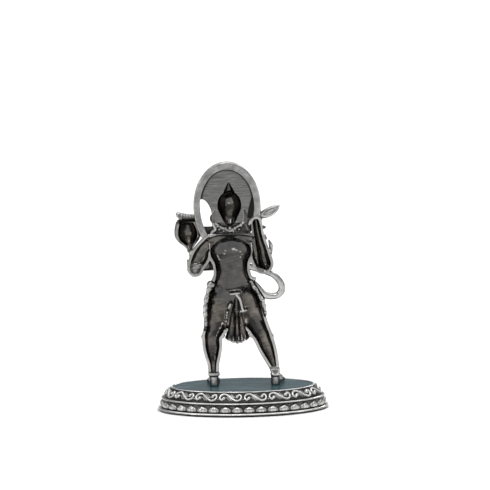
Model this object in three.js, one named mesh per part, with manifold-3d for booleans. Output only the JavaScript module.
// A standing guardian figure with a mace, cast with an open back and fixed to an oval lotus plinth.
// Millimetres, +Z up. The figure faces -Y, its open back faces +Y, and the origin is the middle of the underside.
import * as THREE from "three";
import { mergeVertices } from "three/addons/utils/BufferGeometryUtils.js";
import Module from "manifold-3d";

const wasm = await Module();
wasm.setup();

// Driving dimensions.
const BACK = 1.5; // Y of the flat rim round the figure's open back
const WALL = 1.0; // thickness of the figure's castings
const GAP = 0.3; // joint between two castings
const PLATE = { halfX: 25.6, halfY: 15.3, top: 8.2, thick: 1.2 };
const FOOT = { left: [10.1, 0.2], right: [-11.6, 0.1], post: 1.65, bore: 1.05, boreTop: 10.6 };
const SCROLLS = 16; // units round the upper band
const PETALS = 36; // petals round the lower band
const HALO = {
  x: 4.25,
  y: BACK - 0.9,
  z: 72.8,
  back: 0, // Y of the plate's back face
  halfX: 11.9,
  halfZ: 16.1,
  droop: 1.8, // how much further the ring reaches below its middle than above it
  band: 2.3,
  thick: 1.8,
};

// Finishes.
const silver = new THREE.MeshStandardMaterial({ color: 0xb9b8b4, roughness: 0.32, metalness: 1 });
const oxide = new THREE.MeshStandardMaterial({ color: 0x3a3733, roughness: 0.42, metalness: 0.9 });
const slate = new THREE.MeshStandardMaterial({ color: 0x6f8286, roughness: 0.28, metalness: 1 });
const steel = new THREE.MeshStandardMaterial({ color: 0x8d8f92, roughness: 0.35, metalness: 1 });
const felt = new THREE.MeshStandardMaterial({ color: 0x23272b, roughness: 0.95, metalness: 0 });

// ---- solids ----

function solidOf(geometry) {
  const bare = geometry.clone();
  bare.deleteAttribute("normal");
  bare.deleteAttribute("uv");
  const merged = mergeVertices(bare, 1e-4);
  const corners = [];
  for (let i = 0; i < merged.index.count; i += 3) {
    const [a, b, c] = [0, 1, 2].map((k) => merged.index.getX(i + k));
    if (a !== b && b !== c && c !== a) corners.push(a, b, c);
  }
  return new wasm.Manifold(
    new wasm.Mesh({
      numProp: 3,
      vertProperties: merged.attributes.position.array,
      triVerts: new Uint32Array(corners),
    }),
  );
}

// The largest body of a solid, without the slivers that a cut can leave.
function mainBody(solid) {
  return solid.decompose().sort((a, b) => b.volume() - a.volume())[0];
}

function geometryOf(solid) {
  const mesh = solid.getMesh();
  const geometry = new THREE.BufferGeometry();
  geometry.setAttribute("position", new THREE.BufferAttribute(mesh.vertProperties, 3));
  geometry.setIndex(new THREE.BufferAttribute(mesh.triVerts, 1));
  geometry.computeVertexNormals();
  return geometry;
}

function join(...solids) {
  return solids.reduce((whole, piece) => whole.add(piece));
}

function block([x0, x1], [y0, y1], [z0, z1]) {
  const geometry = new THREE.BoxGeometry(x1 - x0, y1 - y0, z1 - z0);
  return solidOf(geometry.translate((x0 + x1) / 2, (y0 + y1) / 2, (z0 + z1) / 2));
}

const WIDE = [-60, 60];
const level = (z0, z1) => block(WIDE, WIDE, [z0, z1]);
const behind = (y = BACK) => block(WIDE, [y, 60], [-10, 120]);

function ball([x, y, z], [rx, ry, rz], grow = 0, sides = 14) {
  const geometry = new THREE.SphereGeometry(1, sides, Math.round(sides * 0.65));
  geometry.rotateX(Math.PI / 2).scale(rx + grow, ry + grow, rz + grow);
  return solidOf(geometry.translate(x, y, z));
}

// A tapering limb with round ends through points [x, y, z, radius]. deep stretches its section along Y.
function limb(points, { grow = 0, deep = 1, sides = 12, rings = 5, caps = 2 } = {}) {
  const path = new THREE.CatmullRomCurve3(points.map(([x, y, z]) => new THREE.Vector3(x, y, z)));
  const radii = new THREE.CatmullRomCurve3(points.map((p) => new THREE.Vector3(p[3], 0, 0)));
  radii.curveType = "catmullrom";
  const chord = path.getPoint(1).sub(path.getPoint(0)).normalize();
  const up = Math.abs(chord.y) > 0.85 ? new THREE.Vector3(0, 0, 1) : new THREE.Vector3(0, 1, 0);
  const geometry = new THREE.CapsuleGeometry(1, 1, caps, sides, rings);
  const place = geometry.attributes.position;
  for (let i = 0; i < place.count; i++) {
    const along = place.getY(i);
    const t = THREE.MathUtils.clamp(along + 0.5, 0, 1);
    const past = along + 0.5 - t;
    const radius = radii.getPoint(t).x + grow;
    const ahead = path.getTangent(t);
    const side = new THREE.Vector3().crossVectors(ahead, up).normalize();
    const depth = new THREE.Vector3().crossVectors(side, ahead).normalize();
    const at = path.getPoint(t).addScaledVector(ahead, past * radius);
    at.addScaledVector(side, place.getX(i) * radius);
    at.addScaledVector(depth, place.getZ(i) * radius * deep);
    place.setXYZ(i, at.x, at.y, at.z);
  }
  return solidOf(geometry);
}

// A solid of revolution about +Z at [x, y], from a closed outline of [radius, z].
function turned(outline, segments = 20, [x, y] = [0, 0]) {
  const points = outline.map(([r, z]) => new THREE.Vector2(r, z));
  return solidOf(new THREE.LatheGeometry(points, segments).rotateX(Math.PI / 2).translate(x, y, 0));
}

// A casting with an open back: the form less the same form one wall smaller, cut off at the rim's plane.
function openBacked(form, wall = WALL, back = BACK) {
  return form(0).subtract(form(-wall)).subtract(behind(back));
}

// A raised band on a form, from inner to outer millimetres proud of it, between two levels.
function bandOn(form, [inner, outer], [z0, z1], back = BACK) {
  return form(outer).subtract(form(inner)).intersect(level(z0, z1)).subtract(behind(back));
}

// ---- the oval plinth ----

// Turns a round point at radius r into the oval that keeps the same distance from the plate's edge.
function toOval(x, y) {
  const r = Math.hypot(x, y);
  const { halfX, halfY } = PLATE;
  if (r <= halfX) return [x, (y * halfY) / halfX];
  return [x, (y / r) * (halfY + r - halfX)];
}

function ovalRing(outline, segments = 48) {
  const points = outline.map(([r, z]) => new THREE.Vector2(r, z));
  const geometry = new THREE.LatheGeometry(points, segments).rotateX(Math.PI / 2);
  const place = geometry.attributes.position;
  for (let i = 0; i < place.count; i++) {
    place.setXY(i, ...toOval(place.getX(i), place.getY(i)));
  }
  return solidOf(geometry);
}

// Wraps a flat ornament round a band. Its X runs along the band, its Y up the band and its Z out of it.
function wrapped(geometry, share, band) {
  const [[r0, z0], [r1, z1]] = band;
  const rise = new THREE.Vector2(r1 - r0, z1 - z0);
  const height = rise.length();
  rise.normalize();
  const middle = (r0 + r1) / 2;
  const oval = new THREE.EllipseCurve(0, 0, middle, PLATE.halfY + middle - PLATE.halfX);
  const round = oval.getLength();
  const place = geometry.attributes.position;
  for (let i = 0; i < place.count; i++) {
    const along = (((share + place.getX(i) / round) % 1) + 1) % 1;
    const angle = 2 * Math.PI * oval.getUtoTmapping(along);
    const up = height / 2 + place.getY(i);
    const out = place.getZ(i);
    const r = r0 + rise.x * up + rise.y * out;
    const z = z0 + rise.y * up - rise.x * out;
    const flat = toOval(r * Math.cos(angle), r * Math.sin(angle));
    place.setXYZ(i, flat[0], flat[1], z);
  }
  return solidOf(geometry);
}

const SLOPE = [
  [28.0, 5.1],
  [25.65, 7.85],
]; // the inner face of the scroll band, from its foot to its head
const LOTUS = [
  [28.9, 1.5],
  [28.3, 3.9],
]; // the inner face of the petal band
const BAND_THICK = 0.45;

function plinth() {
  const outer = [
    [28.9, 0.9],
    [28.6, 1.4],
    [28.0, 3.9],
    [27.7, 4.3],
    [27.7, 4.8],
    [25.35, 7.55],
    [25.2, PLATE.top],
    [0, PLATE.top],
  ];
  const inner = [
    [0, PLATE.top - PLATE.thick],
    [24.3, PLATE.top - PLATE.thick],
    [26.5, 4.1],
    [27.4, 0.9],
    [28.9, 0.9],
  ];
  let body = ovalRing([...outer, ...inner]);
  for (const at of [FOOT.left, FOOT.right]) {
    const hole = [
      [0, 4],
      [FOOT.bore + GAP, 4],
      [FOOT.bore + GAP, 12],
      [0, 12],
    ];
    body = body.subtract(turned(hole, 16, at));
  }
  return body;
}

// A strip round the plinth on the line of a band, thick enough to carry its ornament.
function strip([[r0, z0], [r1, z1]], thick) {
  const rise = new THREE.Vector2(r1 - r0, z1 - z0).normalize();
  const out = [rise.y * thick, -rise.x * thick];
  return ovalRing([
    [r0, z0],
    [r0 + out[0], z0 + out[1]],
    [r1 + out[0], z1 + out[1]],
    [r1, z1],
    [r0, z0],
  ]);
}

// One lying S of the scroll band, as a round bar with a thick end at each curl.
function scrollUnit(pitch) {
  const w = pitch * 0.44;
  const h = 0.95;
  const half = [
    [-w * 0.42, -h * 0.35],
    [-w * 0.72, -h * 0.85],
    [-w, -h * 0.1],
    [-w * 0.62, h * 0.85],
  ];
  const line = [...half, [0, 0], ...half.map(([x, y]) => [-x, -y]).reverse()];
  const path = new THREE.CatmullRomCurve3(line.map(([x, y]) => new THREE.Vector3(x, y, BAND_THICK)));
  const section = new THREE.Shape([
    new THREE.Vector2(-0.45, -0.3),
    new THREE.Vector2(0.35, -0.3),
    new THREE.Vector2(0.35, 0.3),
    new THREE.Vector2(-0.45, 0.3),
  ]);
  return new THREE.ExtrudeGeometry(section, { extrudePath: path, steps: 8 });
}

function scrollFrieze() {
  const middle = (SLOPE[0][0] + SLOPE[1][0]) / 2;
  const round = new THREE.EllipseCurve(0, 0, middle, PLATE.halfY + middle - PLATE.halfX).getLength();
  let frieze = strip(SLOPE, BAND_THICK);
  for (let i = 0; i < SCROLLS; i++) {
    frieze = frieze.add(wrapped(scrollUnit(round / SCROLLS), (i + 0.5) / SCROLLS, SLOPE));
  }
  return frieze;
}

function petalUnit() {
  const petal = new THREE.Shape();
  petal.moveTo(-1.3, -1.1);
  petal.lineTo(1.3, -1.1);
  petal.lineTo(1.75, 0.1);
  petal.lineTo(0, 1.2);
  petal.lineTo(-1.75, 0.1);
  petal.closePath();
  return new THREE.ExtrudeGeometry(petal, { depth: BAND_THICK + 0.45, bevelEnabled: false });
}

function lotusRow() {
  let row = strip(LOTUS, BAND_THICK);
  for (let i = 0; i < PETALS; i++) {
    row = row.add(wrapped(petalUnit().translate(0, 0, 0.1), i / PETALS, LOTUS));
  }
  return row;
}

const ringOf = (r0, r1, z0, z1) =>
  ovalRing([
    [r0, z0],
    [r1 - 0.25, z0],
    [r1, (z0 + z1) / 2],
    [r1 - 0.25, z1],
    [r0, z1],
    [r0, z0],
  ]);

// ---- forms of the figure, each as it stands, or grown or shrunk by grow ----

const forms = {
  torso: (grow) =>
    join(
      ball([3.3, 0.6, 55.6], [7.6, 8.0, 6.9], grow),
      limb(
        [
          [10.6, 0.8, 59.7, 2.8],
          [3.4, 0.2, 60.4, 3.3],
          [-4.4, 0.8, 59.7, 2.8],
        ],
        { grow, deep: 1.25 },
      ),
      limb(
        [
          [3.2, 0.6, 54.5, 6.3],
          [3.0, 0.6, 46.0, 6.1],
        ],
        { grow, deep: 1.15, rings: 3 },
      ),
      limb(
        [
          [3.5, 0.4, 60.5, 2.9],
          [3.5, -0.2, 65.0, 2.7],
        ],
        { grow, rings: 1 },
      ),
    ),
  hips: (grow) =>
    join(
      limb(
        [
          [2.85, 0.6, 46.5, 6.6],
          [2.75, 0.7, 43.0, 7.9],
          [2.7, 0.8, 39.5, 9.1],
        ],
        { grow, deep: 0.88, sides: 14 },
      ),
      limb(
        [
          [6.8, 0.8, 38.2, 5.8],
          [8.7, 0.6, 31.0, 4.6],
          [10.6, 0.7, 25.5, 3.45],
        ],
        { grow, deep: 1.25 },
      ),
      limb(
        [
          [-1.9, 0.8, 38.5, 5.7],
          [-4.8, 0.6, 31.2, 4.4],
          [-7.4, 0.7, 25.5, 3.4],
        ],
        { grow, deep: 1.25 },
      ),
    ),
  leftLeg: (grow) =>
    limb(
      [
        [10.6, 0.7, 27.0, 3.4],
        [10.5, 0.7, 23.0, 3.4],
        [10.4, 0.7, 20.4, 3.1],
        [10.35, 0.8, 17.0, 2.3],
        [10.25, 0.8, 13.2, 1.8],
      ],
      { grow, deep: 1.15, rings: 8 },
    ),
  rightLeg: (grow) =>
    limb(
      [
        [-7.2, 0.7, 27.0, 3.4],
        [-8.6, 0.7, 22.6, 3.15],
        [-9.9, 0.7, 19.0, 2.65],
        [-11.0, 0.8, 15.6, 2.0],
        [-11.5, 0.8, 13.2, 1.7],
      ],
      { grow, deep: 1.15, rings: 8 },
    ),
  leftUpperArm: (grow) =>
    limb(
      [
        [11.2, 0.8, 59.2, 2.9],
        [13.0, 0.8, 56.8, 3.1],
        [14.2, 0.8, 54.2, 3.4],
        [15.7, 0.6, 51.3, 2.9],
      ],
      { grow, deep: 1.15 },
    ),
  rightUpperArm: (grow) =>
    limb(
      [
        [-5.2, 0.8, 59.4, 2.8],
        [-6.5, 0.8, 56.5, 3.3],
        [-7.4, 0.8, 53.6, 3.6],
        [-8.2, 0.6, 51.8, 3.6],
      ],
      { grow, deep: 1.1 },
    ),
  leftForearm: (grow) =>
    limb(
      [
        [15.4, -1.4, 50.8, 2.0],
        [16.2, -3.4, 50.6, 1.75],
        [16.8, -5.6, 50.6, 1.3],
      ],
      { grow, rings: 4 },
    ),
  rightForearm: (grow) =>
    limb(
      [
        [-8.6, -2.2, 51.4, 2.2],
        [-8.9, -3.4, 55.4, 2.0],
        [-7.9, -3.1, 59.4, 1.6],
        [-7.0, -2.7, 62.6, 1.3],
      ],
      { grow, rings: 6 },
    ),
  head: (grow) =>
    join(
      ball([3.5, -1.2, 71.6], [5.05, 6.2, 6.0], grow, 14),
      limb(
        [
          [3.5, -2.6, 69.5, 3.9],
          [3.55, -2.9, 67.2, 2.6],
        ],
        { grow, rings: 1 },
      ),
      forms.crown(grow),
    ),
  crown: (grow) =>
    limb(
      [
        [3.5, -1.0, 75.2, 4.7],
        [3.6, -0.8, 77.2, 3.8],
        [3.65, -0.6, 79.6, 2.2],
        [3.7, -0.4, 81.6, 1.15],
      ],
      { grow, deep: 1.15, sides: 14 },
    ),
  tail: (grow) =>
    limb(
      [
        [-3.9, 0.35, 50.9, 1.05],
        [-7.0, 0.3, 49.5, 1.0],
        [-11.1, 0.3, 47.9, 1.05],
        [-13.8, 0.2, 45.4, 1.15],
        [-14.5, 0.2, 42.8, 1.2],
        [-13.3, 0.2, 40.5, 1.15],
        [-10.4, 0.2, 40.0, 1.2],
        [-7.4, 0.3, 41.3, 1.4],
      ],
      { grow, sides: 8, rings: 18 },
    ),
};

// ---- the halo behind the head ----

function ovalDisc(halfX, halfZ, [y0, y1], segments = 40) {
  const disc = new THREE.CylinderGeometry(1, 1, y1 - y0, segments).scale(halfX, 1, halfZ);
  const place = disc.attributes.position;
  for (let i = 0; i < place.count; i++) {
    const z = place.getZ(i);
    place.setZ(i, z < 0 ? z * (1 + HALO.droop / halfZ) : z);
  }
  return solidOf(disc.translate(HALO.x, (y0 + y1) / 2, HALO.z));
}

function haloRim() {
  const span = [HALO.y - HALO.thick / 2, HALO.y + HALO.thick / 2];
  const past = [span[0] - 1, span[1] + 1];
  const ring = ovalDisc(HALO.halfX, HALO.halfZ, span);
  const hole = ovalDisc(HALO.halfX - HALO.band, HALO.halfZ - HALO.band - 0.3, past);
  const rightEnd = block([-12, HALO.x], past, [50, 68.8]);
  const leftEnd = block([HALO.x, 20], past, [50, 60.6]);
  const shoulder = forms.torso(GAP).add(forms.leftUpperArm(GAP));
  return mainBody(ring.subtract(hole).subtract(rightEnd).subtract(leftEnd).subtract(shoulder));
}

function haloPlate() {
  const span = [HALO.y - 1.3, HALO.y - 0.6];
  const past = [span[0] - 1, span[1] + 1];
  const inset = HALO.band + GAP;
  const disc = ovalDisc(HALO.halfX - inset, HALO.halfZ - inset - 0.3, span);
  const leftOpening = ball([13.4, 0, 67.5], [4.4, 4, 7.6], 0, 16);
  const rightOpening = limb(
    [
      [-4.4, 0, 75.0, 0.7],
      [-3.6, 0, 71.4, 0.9],
      [-3.4, 0, 66.0, 1.1],
    ],
    { deep: 3, sides: 8, rings: 4 },
  );
  return mainBody(
    disc
      .subtract(leftOpening)
      .subtract(rightOpening)
      .subtract(forms.head(GAP))
      .subtract(block(WIDE, past, [50, 66.4])),
  );
}

// ---- the mace ----

const MACE = { foot: [16.4, -6.2, 46.6], head: [18.3, -2.0, 62.7], radius: 4.6, back: -0.6 };

// Moves a solid turned about +Z on to the line from the mace's foot to its head, with z counted from the foot.
function onMace(outline, segments = 16) {
  const points = outline.map(([r, z]) => new THREE.Vector2(r, z));
  const foot = new THREE.Vector3(...MACE.foot);
  const along = new THREE.Vector3(...MACE.head).sub(foot).normalize();
  const turn = new THREE.Quaternion().setFromUnitVectors(new THREE.Vector3(0, 1, 0), along);
  const geometry = new THREE.LatheGeometry(points, segments).applyQuaternion(turn);
  return solidOf(geometry.translate(foot.x, foot.y, foot.z));
}

const maceLength = new THREE.Vector3(...MACE.head).distanceTo(new THREE.Vector3(...MACE.foot));
const NECK = maceLength - 6.4;

function maceHead() {
  const bulb = (grow) => {
    const r = MACE.radius + grow;
    return onMace(
      [
        [0, NECK - grow],
        [1.3 + grow, NECK - grow],
        [r * 0.62, maceLength - 4.0],
        [r * 0.95, maceLength - 1.6],
        [r, maceLength + 0.2],
        [r * 0.96, maceLength + 2.2],
        [r * 0.78, maceLength + 4.4 + grow],
        [0, maceLength + 4.4 + grow],
      ],
      18,
    );
  };
  return mainBody(bulb(0).subtract(bulb(-WALL)).subtract(behind(MACE.back)));
}

function maceCollar() {
  const low = maceLength + 4.4 + GAP;
  const band = onMace(
    [
      [0, low],
      [3.6, low],
      [3.95, low + 0.6],
      [3.6, low + 1.5],
      [0, low + 1.9],
    ],
    18,
  );
  const knob = ball([21.8, -1.7, 69.4], [1.0, 1.0, 1.0], 0, 10);
  return mainBody(join(band, knob).subtract(behind(MACE.back)));
}

const maceBore = () =>
  onMace(
    [
      [0, -2],
      [1.25 + GAP, -2],
      [1.25 + GAP, NECK - 0.6],
      [1.25 + GAP, NECK + 0.1],
      [0, NECK + 0.1],
    ],
    12,
  );

function maceShaft() {
  const end = NECK - GAP;
  return onMace(
    [
      [0, 0],
      [0.8, 0.1],
      [1.4, 0.9],
      [0.8, 1.8],
      [0.8, end - 0.9],
      [1.25, end - 0.5],
      [1.25, end],
      [0, end],
    ],
    12,
  );
}

// ---- hands and feet ----

const finger = (points) => limb(points, { sides: 5, rings: 2, caps: 1 });

function rightHand() {
  const palm = limb(
    [
      [-7.0, -2.8, 63.4, 1.3],
      [-6.6, -2.6, 65.4, 2.0],
      [-6.2, -2.6, 67.2, 2.1],
    ],
    { deep: 0.62, rings: 3 },
  );
  const fingers = [0, 1, 2, 3].map((i) => {
    const x = -7.9 + i * 1.12;
    const tip = [71.8, 73.4, 73.9, 72.9][i];
    return finger([
      [x, -2.5, 67.0, 0.72],
      [x + 0.35, -2.9, 70.0, 0.68],
      [x + 0.75, -2.7, tip, 0.5],
    ]);
  });
  const thumb = finger([
    [-5.4, -3.0, 65.0, 0.85],
    [-4.6, -4.2, 66.9, 0.75],
    [-4.7, -4.9, 68.8, 0.55],
  ]);
  return mainBody(join(palm, ...fingers, thumb).subtract(level(0, 62.2)));
}

function leftHand() {
  const grip = [16.9, -6.2, 50.6];
  const palm = ball([grip[0] - 0.5, grip[1] + 1.3, grip[2]], [2.1, 1.5, 2.3]);
  const fingers = [0, 1, 2, 3].map((i) => {
    const z = grip[2] - 1.7 + i * 1.12;
    return finger([
      [grip[0] - 2.1, grip[1] + 0.9, z, 0.7],
      [grip[0] - 1.5, grip[1] - 1.7, z, 0.68],
      [grip[0] + 0.5, grip[1] - 2.0, z + 0.1, 0.66],
      [grip[0] + 1.9, grip[1] - 0.9, z + 0.2, 0.6],
    ]);
  });
  return mainBody(join(palm, ...fingers));
}

function foot([x, y], splay) {
  const toe = [x + splay, y - 11.0];
  const sole = limb(
    [
      [x, y - 0.6, PLATE.top + 1.4, 1.6],
      [x + splay * 0.45, y - 5.2, PLATE.top + 1.3, 2.2],
      [toe[0] - splay * 0.12, toe[1] + 2.4, PLATE.top + 0.9, 2.3],
    ],
    { rings: 4 },
  );
  const toes = [0, 1, 2, 3, 4].map((i) => {
    const across = (i - 2) * 0.95;
    const back = Math.abs(i - (splay > 0 ? 1 : 3)) * 0.35;
    return finger([
      [toe[0] + across * 0.9 - splay * 0.12, toe[1] + 1.6, PLATE.top + 0.9, 0.7],
      [toe[0] + across, toe[1] + back, PLATE.top + 0.6, 0.62],
    ]);
  });
  const post = [
    [0, PLATE.top + 0.1],
    [FOOT.post, PLATE.top + 0.1],
    [FOOT.post, 11.3],
    [1.0, 11.4],
    [1.0, 12.8],
    [0, 12.8],
  ];
  const bore = [
    [0, 7],
    [FOOT.bore + 0.05, 7],
    [FOOT.bore + 0.05, FOOT.boreTop],
    [0, FOOT.boreTop],
  ];
  return mainBody(
    join(sole, turned(post, 14, [x, y]), ...toes)
      .subtract(level(-20, PLATE.top + 0.1))
      .subtract(turned(bore, 14, [x, y])),
  );
}

const anklet = () =>
  turned([
    [1.3, 11.7],
    [1.8, 11.7],
    [2.15, 12.2],
    [1.8, 12.7],
    [1.3, 12.7],
    [1.3, 11.7],
  ]);

// A pan-head screw that comes up through the plinth's top into the heel.
const footScrew = () =>
  turned(
    [
      [0, 5.2],
      [1.6, 5.2],
      [2.1, 5.8],
      [2.1, 6.7],
      [0.75, 6.7],
      [0.75, 10.2],
      [0, 10.2],
    ],
    14,
  );

// ---- dress and ornaments ----

function apron() {
  const form = (grow) =>
    limb(
      [
        [2.6, -7.0, 43.0, 1.9],
        [2.2, -6.6, 37.0, 2.6],
        [1.9, -4.2, 31.0, 3.3],
        [1.8, -1.6, 27.2, 3.9],
      ],
      { grow, deep: 0.75, sides: 10, rings: 4 },
    );
  const skirt = form(0).subtract(form(-WALL)).subtract(behind(BACK - 0.6));
  const tips = [-2.6, 0, 2.6].map((x) =>
    ball([1.8 + x, -2.4, 24.6 - (x === 0 ? 0.3 : 0)], [1.5, 1.6, 1.5], 0, 8),
  );
  return mainBody(
    join(skirt, ...tips)
      .subtract(forms.hips(GAP))
      .intersect(level(22.8, 43.6)),
  );
}

function sash(side) {
  const line =
    side > 0
      ? [
          [10.2, -0.6, 43.6, 1.5],
          [12.3, -0.7, 38.4, 1.25],
          [13.0, -0.7, 34.6, 1.2],
          [13.2, -0.7, 32.0, 0.9],
        ]
      : [
          [-4.9, -0.6, 43.4, 1.5],
          [-7.2, -0.7, 38.6, 1.25],
          [-8.0, -0.7, 35.4, 1.15],
          [-8.5, -0.7, 33.6, 0.9],
        ];
  const knot = ball(side > 0 ? [11.0, -0.2, 44.6] : [-4.6, -0.2, 45.2], [1.7, 1.7, 1.5], 0, 10);
  const cloth = join(knot, limb(line, { deep: 1.7, sides: 8 }));
  return mainBody(
    cloth.subtract(forms.hips(GAP)).subtract(forms.torso(GAP)).subtract(forms.tail(GAP)),
  );
}

// The cloth that hangs between the left elbow and the waist.
const elbowScarf = () =>
  limb(
    [
      [13.6, -2.6, 51.4, 2.1],
      [11.4, -3.4, 51.3, 2.1],
      [9.6, -4.6, 51.0, 1.9],
    ],
    { sides: 10, rings: 4 },
  );

const hairLock = (x, lean) =>
  mainBody(
    limb(
      [
        [x, 1.3, 71.0, 0.6],
        [x + lean * 0.3, 1.3, 68.0, 0.95],
        [x + lean, 1.2, 63.6, 1.0],
      ],
      { sides: 8, rings: 4 },
    )
      .subtract(forms.head(GAP))
      .subtract(forms.torso(GAP))
      .subtract(behind()),
  );

const armlet = (form, z) =>
  bandOn(form, [GAP, 1.0], [z - 0.8, z + 0.8]).subtract(forms.torso(GAP));

function necklace() {
  const beads = Array.from({ length: 7 }, (_, i) => {
    const turn = ((i - 3) / 3) * 1.1;
    const at = [3.5 + 5.6 * Math.sin(turn), -4.6 - 2.3 * Math.cos(turn), 61.2 - 3.6 * Math.cos(turn)];
    return ball(at, [1.25, 1.0, 1.25], 0, 6);
  });
  const line = Array.from({ length: 7 }, (_, i) => {
    const turn = ((i - 3) / 3) * 1.2;
    return [3.5 + 5.6 * Math.sin(turn), -4.6 - 2.3 * Math.cos(turn), 61.2 - 3.6 * Math.cos(turn), 0.6];
  });
  const cord = limb(line, { sides: 5, rings: 7, caps: 1 });
  return mainBody(join(cord, ...beads).subtract(forms.torso(GAP)).subtract(forms.head(GAP)));
}

const tailTip = () =>
  mainBody(
    limb(
      [
        [-8.9, 0.0, 68.7, 0.9],
        [-10.1, 0.2, 69.8, 1.5],
        [-11.9, 0.2, 70.8, 1.5],
        [-13.4, 0.1, 71.9, 0.7],
      ],
      { deep: 0.75, sides: 8, rings: 6 },
    ),
  );

const earring = (x, z) => ball([x, -2.4, z], [1.35, 1.7, 1.9], 0, 10).subtract(forms.head(GAP));

// ---- the assembly ----

const statue = new THREE.Group();
statue.name = "statue";
const base = new THREE.Group();
const figure = new THREE.Group();
statue.add(base, figure);

function addPiece(group, name, solid, material, [x, y, z] = [0, 0, 0]) {
  const mesh = new THREE.Mesh(geometryOf(solid), material);
  mesh.name = name;
  mesh.position.set(x, y, z);
  group.add(mesh);
}

// The plinth, from the table up.
addPiece(
  base,
  "base_pad",
  ovalRing([
    [0, 0],
    [28.6, 0],
    [28.6, 0.6],
    [0, 0.6],
  ]),
  felt,
);
addPiece(base, "foot_lip", ringOf(29.2, 30.3, 0.3, 1.15), silver);
addPiece(base, "plinth", plinth(), slate);
addPiece(base, "lotus_petal_row", lotusRow(), silver);
addPiece(base, "ridge_moulding", ringOf(28.05, 28.85, 4.25, 4.85), silver);
addPiece(base, "scroll_frieze", scrollFrieze(), silver);

const sides = [
  { name: "left", at: FOOT.left, splay: 0.5, leg: forms.leftLeg },
  { name: "right", at: FOOT.right, splay: -2.4, leg: forms.rightLeg },
];
for (const { name, at, splay, leg } of sides) {
  addPiece(base, `${name}_foot_screw`, footScrew(), steel, [...at, 0]);
  addPiece(figure, `${name}_foot`, foot(at, splay), silver);
  addPiece(figure, `${name}_anklet`, anklet(), silver, [...at, 0]);
  const shin = openBacked(leg).intersect(level(13.0, 25.1));
  addPiece(figure, `${name}_leg`, mainBody(shin), oxide);
}

// The body.
const apronPiece = apron();
addPiece(figure, "hips", mainBody(openBacked(forms.hips).intersect(level(25.4, 46.2))), oxide);
addPiece(figure, "apron", apronPiece, oxide);
addPiece(figure, "left_sash", sash(1), silver);
addPiece(figure, "right_sash", sash(-1), silver);
addPiece(figure, "torso", mainBody(openBacked(forms.torso).intersect(level(46.5, 64.3))), oxide);
const waist = (grow) => forms.torso(grow).add(forms.hips(grow));
const belt = bandOn(waist, [GAP, 1.1], [44.9, 47.1], -1.2);
addPiece(figure, "belt", mainBody(belt.subtract(block(WIDE, [-2.2, 20], [40, 50]))), silver);
addPiece(figure, "necklace", necklace(), silver);

// The arms.
const leftUpper = openBacked(forms.leftUpperArm).subtract(forms.torso(GAP));
addPiece(figure, "left_upper_arm", mainBody(leftUpper.intersect(level(49.6, 64))), oxide);
const rightUpper = openBacked(forms.rightUpperArm)
  .subtract(forms.torso(GAP))
  .subtract(forms.tail(GAP))
  .intersect(level(51.2, 64));
addPiece(figure, "right_upper_arm", mainBody(rightUpper), oxide);
const leftFore = forms
  .leftForearm(0)
  .subtract(maceBore())
  .subtract(forms.leftUpperArm(GAP))
  .subtract(forms.torso(GAP));
addPiece(figure, "left_forearm", mainBody(leftFore), oxide);
const scarf = elbowScarf()
  .subtract(forms.leftUpperArm(GAP))
  .subtract(forms.leftForearm(GAP))
  .subtract(forms.torso(GAP))
  .subtract(block([14.0, 20], [-20, 20], [40, 60]));
addPiece(figure, "elbow_scarf", mainBody(scarf), oxide);
const rightFore = forms
  .rightForearm(0)
  .subtract(forms.rightUpperArm(GAP))
  .subtract(forms.torso(GAP))
  .subtract(forms.tail(GAP));
addPiece(figure, "right_forearm", mainBody(rightFore.intersect(level(40, 61.8))), oxide);
addPiece(figure, "left_armlet", mainBody(armlet(forms.leftUpperArm, 56.3)), silver);
const rightBand = armlet(forms.rightUpperArm, 56.6).subtract(forms.rightForearm(GAP));
addPiece(figure, "right_armlet", mainBody(rightBand), silver);
const rightCuff = bandOn(forms.rightForearm, [GAP, 0.8], [59.6, 61.2]);
addPiece(figure, "right_bracelet", mainBody(rightCuff.subtract(forms.rightUpperArm(GAP))), silver);
addPiece(figure, "right_hand", rightHand(), silver);

// The mace and the hand that holds it.
const shaft = maceShaft();
const grip = leftHand().subtract(maceBore()).subtract(forms.leftForearm(GAP));
addPiece(figure, "mace_shaft", shaft, silver);
addPiece(figure, "left_hand", mainBody(grip.subtract(forms.leftUpperArm(GAP))), silver);
addPiece(figure, "mace_head", maceHead(), oxide);
addPiece(figure, "mace_collar", maceCollar(), silver);

// The head, with its crown, earrings and halo.
const face = openBacked(forms.head, WALL, HALO.back);
addPiece(figure, "head", mainBody(face.subtract(forms.torso(GAP)).intersect(level(64.6, 76.6))), oxide);
const cap = openBacked(forms.crown, WALL, HALO.back).intersect(level(76.9, 90));
addPiece(figure, "crown", mainBody(cap), oxide);
addPiece(figure, "crown_band", mainBody(bandOn(forms.head, [GAP, 1.0], [74.6, 76.0], -1.0)), silver);
addPiece(figure, "left_hair_lock", hairLock(9.3, 0.5), silver);
addPiece(figure, "right_hair_lock", hairLock(-2.3, -0.8), silver);
addPiece(figure, "left_earring", mainBody(earring(9.4, 67.7)), silver);
addPiece(figure, "right_earring", mainBody(earring(-2.2, 68.4)), silver);
addPiece(figure, "halo_rim", haloRim(), silver);
addPiece(figure, "halo_plate", haloPlate(), slate);

// The tail.
const loop = forms
  .tail(0)
  .subtract(behind())
  .subtract(forms.torso(GAP))
  .subtract(forms.hips(GAP));
addPiece(figure, "tail", mainBody(loop), silver);
addPiece(figure, "tail_tip", tailTip(), silver);

export default statue;
